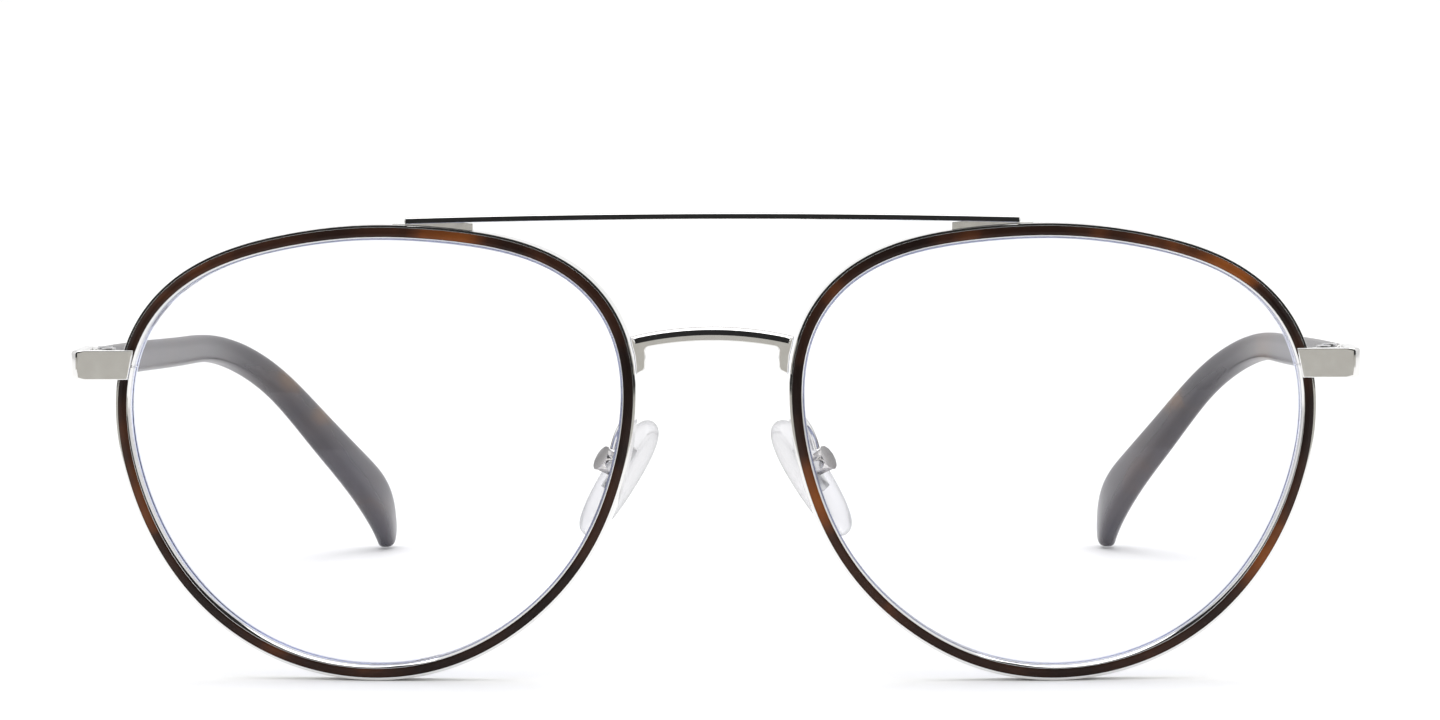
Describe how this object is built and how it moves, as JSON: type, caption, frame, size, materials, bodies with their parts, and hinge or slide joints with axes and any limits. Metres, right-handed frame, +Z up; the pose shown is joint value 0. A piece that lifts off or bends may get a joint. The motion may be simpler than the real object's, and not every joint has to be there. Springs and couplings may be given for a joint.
{
  "type": "eyeglasses_full_rim_double_bridge",
  "caption": "Full-rim spectacle frame with teardrop lenses, a bridge, a brow bar, folding temples and rocking nose pads.",
  "frame": {"origin": "middle of the bounding box in X and Y, on the surface that the rims and temple tips stand on", "axes": "+X towards the wearer's left, +Y from the front back along the temples, +Z up"},
  "size_m": [0.1404, 0.1378, 0.051],
  "materials": {
    "polished_silver": "polished",
    "steel": "polished",
    "tortoise_acetate": "gloss",
    "lens": "clear, coated",
    "clear_pad": "clear, soft gloss"
  },
  "bodies": {
    "front": {"bridge": "polished_silver", "brow_bar": "polished_silver", "eyewire_left": "polished_silver", "eyewire_right": "polished_silver", "rim_inlay_left": "tortoise_acetate", "rim_inlay_right": "tortoise_acetate", "lens_left": "lens", "lens_right": "lens", "brow_foot_left": "polished_silver", "brow_foot_right": "polished_silver", "closing_block_upper_left": "polished_silver", "closing_block_upper_right": "polished_silver", "closing_block_lower_left": "polished_silver", "closing_block_lower_right": "polished_silver", "closing_screw_left": "steel", "closing_screw_right": "steel", "end_piece_left": "polished_silver", "end_piece_right": "polished_silver", "front_hinge_left": "polished_silver", "front_hinge_right": "polished_silver", "hinge_screw_left": "steel", "hinge_screw_right": "steel", "pad_arm_left": "polished_silver", "pad_arm_right": "polished_silver", "pad_box_left": "polished_silver", "pad_box_right": "polished_silver", "pad_screw_left": "steel", "pad_screw_right": "steel"},
    "temple_left": {"temple_left": "tortoise_acetate", "temple_core_left": "steel", "temple_cap_left": "polished_silver", "temple_hinge_left": "polished_silver"},
    "temple_right": {"temple_right": "tortoise_acetate", "temple_core_right": "steel", "temple_cap_right": "polished_silver", "temple_hinge_right": "polished_silver"},
    "nose_pad_left": {"nose_pad_left": "clear_pad", "pad_core_left": "steel"},
    "nose_pad_right": {"nose_pad_right": "clear_pad", "pad_core_right": "steel"}
  },
  "joints": [
    {"name": "temple_fold_left", "type": "hinge", "parent": "front", "child": "temple_left", "pos_m": [0.0673, -0.05847, 0.03443], "axis": [0, 0, 1], "range_deg": [0, 82]},
    {"name": "temple_fold_right", "type": "hinge", "parent": "front", "child": "temple_right", "pos_m": [-0.0673, -0.05847, 0.03443], "axis": [0, 0, -1], "range_deg": [0, 68]},
    {"name": "pad_rock_left", "type": "hinge", "parent": "front", "child": "nose_pad_left", "pos_m": [0.01182, -0.06075, 0.02343], "axis": [-0.3177, -0.9272, -0.1985], "range_deg": [-10, 10]},
    {"name": "pad_rock_right", "type": "hinge", "parent": "front", "child": "nose_pad_right", "pos_m": [-0.01182, -0.06075, 0.02343], "axis": [-0.3177, 0.9272, 0.1985], "range_deg": [-10, 10]}
  ]
}
